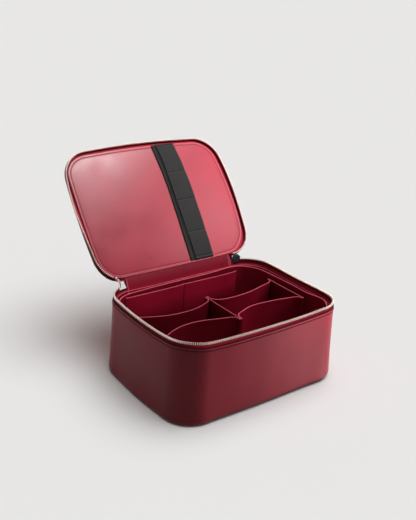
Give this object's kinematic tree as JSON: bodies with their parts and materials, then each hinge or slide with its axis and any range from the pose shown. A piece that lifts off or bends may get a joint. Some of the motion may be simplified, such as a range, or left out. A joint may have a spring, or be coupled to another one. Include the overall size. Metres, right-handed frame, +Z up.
{
  "type": "zip-around leather jewellery case",
  "caption": "Zip-around leather case: a deep rounded tub with a divided soft organiser, a hinged padded lid with an elastic loop band, and a zip slider with a leather pull.",
  "frame": {"origin": "middle of the tub's footprint, on the surface it stands on", "axes": "+X to the right along the front, +Y to the back where the lid is hinged, +Z up"},
  "size_m": [0.245, 0.2973, 0.2448],
  "materials": {
    "leather_outer": "smooth satin leather",
    "leather_lining": "smooth lining leather with raw pink cut edges",
    "board": "stiff fibre board",
    "padding": "thin foam padding",
    "zip_tape": "woven zip tape",
    "zip_metal": "champagne plated zip teeth",
    "webbing": "black ribbed elastic",
    "slider_metal": "black enamelled slider"
  },
  "bodies": {
    "tub": {"tub_outer_leather": "leather_outer", "tub_base_leather": "leather_outer", "tub_wall_board": "board", "tub_base_board": "board", "tub_wall_lining": "leather_lining", "tub_base_lining": "leather_lining", "tub_zip_tape": "zip_tape", "tub_zip_teeth": "zip_metal", "tub_zip_stop": "zip_metal", "organiser_wall": "leather_lining", "back_pocket": "leather_lining", "divider_back_left": "leather_lining", "divider_back_right": "leather_lining", "divider_front_left": "leather_lining", "divider_front_right": "leather_lining", "cross_strip_left": "leather_lining", "cross_strip_centre": "leather_lining", "cross_strip_right": "leather_lining"},
    "hinge_strip": {"hinge_strip_leather": "leather_outer", "hinge_strip_lining": "leather_lining"},
    "lid": {"lid_outer_leather": "leather_outer", "lid_board": "board", "lid_padding": "padding", "lid_lining_panel": "leather_lining", "lid_zip_tape": "zip_tape", "lid_zip_teeth": "zip_metal", "lid_zip_stop": "zip_metal", "band_backing": "webbing", "band_elastic": "webbing"},
    "slider": {"zip_slider": "slider_metal"},
    "pull": {"zip_pull_link": "slider_metal", "zip_pull_tab": "leather_outer"}
  },
  "joints": [
    {"name": "lid_hinge", "type": "hinge", "parent": "tub", "child": "lid", "pos_m": [0, 0.088, 0.1066], "axis": [1, 0, 0], "range_deg": [0, 129.7]},
    {"name": "strip_lean", "type": "hinge", "parent": "tub", "child": "hinge_strip", "pos_m": [0, 0.0874, 0.0964], "axis": [1, 0, 0], "range_deg": [0, 41.7]},
    {"name": "slider_run", "type": "hinge", "parent": "tub", "child": "slider", "pos_m": [0.08266, 0.0513, 0.1], "axis": [0, 0, -1], "range_deg": [0, 64]},
    {"name": "pull_swing", "type": "hinge", "parent": "slider", "child": "pull", "pos_m": [0.08919, 0.0899, 0.0986], "axis": [0.986, -0.1668, 0], "range_deg": [0, 75]}
  ],
  "couplings": [
    {"joint": "strip_lean", "follows": "lid_hinge", "ratio": 0.3215}
  ]
}
